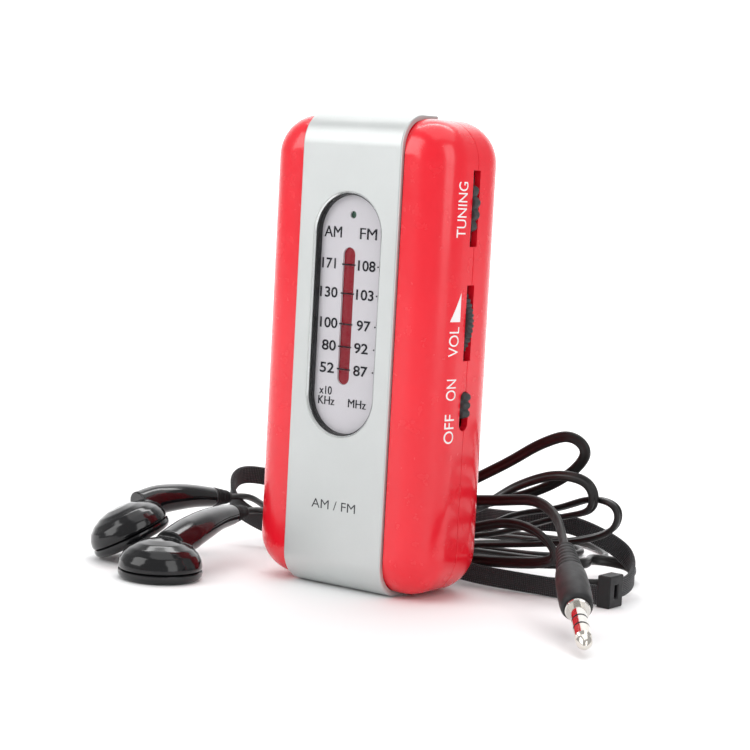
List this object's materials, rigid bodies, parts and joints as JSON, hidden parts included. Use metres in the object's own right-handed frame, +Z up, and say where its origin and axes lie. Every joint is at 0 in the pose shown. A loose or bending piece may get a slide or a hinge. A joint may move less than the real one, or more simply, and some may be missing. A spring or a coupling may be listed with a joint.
{
  "type": "pocket radio",
  "caption": "Upright rounded pocket radio with a wrapped front band, slide-rule dial, side thumbwheels, slide switches, battery door and wired earphones with a neck strap.",
  "frame": {"origin": "centre of the case's footprint on the surface it stands on", "axes": "+Z up along the tall case, -Y out of the dial face, +X out of the side with the thumbwheels"},
  "size_m": [0.1378, 0.1275, 0.108],
  "materials": {
    "case_plastic": "polished moulded plastic",
    "band_metal": "satin silver lacquer",
    "lens_clear": "clear polished acrylic",
    "dial_print": "printed pale plate",
    "dial_black": "black moulded plastic",
    "filter_red": "tinted red film",
    "pointer_orange": "moulded",
    "steel": "bright",
    "cord_ivory": "waxed braid",
    "part_white": "acetal",
    "wheel_grey": "fine moulded texture",
    "part_black": "moulded",
    "led_green": "tinted epoxy",
    "board_green": "solder resist",
    "capacitor_blue": "sleeve",
    "ferrite_grey": "sintered",
    "copper": "enamelled wire",
    "cell_skin": "printed sleeve",
    "contact_nickel": "nickel plate",
    "lead_skin": "vinyl",
    "ear_black": "polished",
    "cord_black": "soft vinyl",
    "grille_grey": "perforated",
    "plug_rubber": "soft matt",
    "strap_black": "woven nylon"
  },
  "bodies": {
    "case": {"front_shell": "case_plastic", "rear_shell": "case_plastic", "front_band": "band_metal", "dial_lens": "lens_clear", "dial_bezel": "dial_black", "dial_plate": "dial_print", "dial_filter": "filter_red", "pointer_rail": "steel", "dial_cord": "cord_ivory", "pulley_pins": "steel", "tuning_capacitor": "part_white", "volume_pot": "steel", "power_switch": "steel", "band_switch": "steel", "earphone_jack": "part_black", "signal_led": "led_green", "circuit_board": "board_green", "radio_chip": "part_black", "tuned_coils": "steel", "filter_capacitors": "capacitor_blue", "ferrite_rod": "ferrite_grey", "aerial_coil": "copper", "battery_cells": "cell_skin", "battery_contacts": "contact_nickel", "battery_springs": "contact_nickel", "case_screws": "steel", "board_screws": "steel", "battery_leads": "lead_skin"},
    "tuner": {"cord_drum": "part_white", "tuning_wheel": "wheel_grey"},
    "pointer": {"dial_pointer": "pointer_orange"},
    "upper_pulley_body": {"upper_pulley": "part_white"},
    "lower_pulley_body": {"lower_pulley": "part_white"},
    "volume": {"volume_wheel": "wheel_grey"},
    "power_slider": {"power_knob": "wheel_grey"},
    "band_slider": {"band_knob": "wheel_grey"},
    "door": {"battery_door": "case_plastic"},
    "earphones": {"plug_grip": "plug_rubber", "plug_shaft": "contact_nickel", "main_cord": "cord_black", "cord_splitter": "cord_black", "left_cord": "cord_black", "right_cord": "cord_black", "left_housing": "ear_black", "left_rim": "ear_black", "left_grille": "grille_grey", "left_relief": "cord_black", "right_housing": "ear_black", "right_rim": "ear_black", "right_grille": "grille_grey", "right_relief": "cord_black", "neck_strap": "strap_black", "strap_buckle": "part_black"}
  },
  "joints": [
    {"name": "tuning_turn", "type": "hinge", "parent": "case", "child": "tuner", "pos_m": [0.0141, -0.00115, 0.088], "axis": [0, 1, 0], "range_deg": [-180, 0]},
    {"name": "pointer_travel", "type": "slide", "parent": "case", "child": "pointer", "axis": [0, 0, 1], "range_m": [-0.024, 0]},
    {"name": "upper_pulley_turn", "type": "hinge", "parent": "case", "child": "upper_pulley_body", "pos_m": [-0.0016, -0.0074, 0.0944], "axis": [0, 1, 0], "range_deg": [-527, 0]},
    {"name": "lower_pulley_turn", "type": "hinge", "parent": "case", "child": "lower_pulley_body", "pos_m": [-0.0016, -0.0074, 0.031], "axis": [0, 1, 0], "range_deg": [-527, 0]},
    {"name": "volume_turn", "type": "hinge", "parent": "case", "child": "volume", "pos_m": [0.0148, -0.00115, 0.0627], "axis": [0, 1, 0], "range_deg": [-150, 120]},
    {"name": "power_slide", "type": "slide", "parent": "case", "child": "power_slider", "axis": [0, 0, 1], "range_m": [-0.0026, 0]},
    {"name": "band_slide", "type": "slide", "parent": "case", "child": "band_slider", "axis": [0, 0, 1], "range_m": [-0.0026, 0]},
    {"name": "door_tilt", "type": "hinge", "parent": "case", "child": "door", "pos_m": [0, 0.01305, 0.01275], "axis": [-1, 0, 0], "range_deg": [0, 40]},
    {"name": "earphones_lift", "type": "slide", "parent": "case", "child": "earphones", "axis": [0, 0, 1], "range_m": [0, 0.1]}
  ],
  "couplings": [
    {"joint": "pointer_travel", "follows": "tuning_turn", "m_per_rad": 0.0076},
    {"joint": "upper_pulley_turn", "follows": "tuning_turn", "ratio": 2.9231},
    {"joint": "lower_pulley_turn", "follows": "tuning_turn", "ratio": 2.9231}
  ]
}
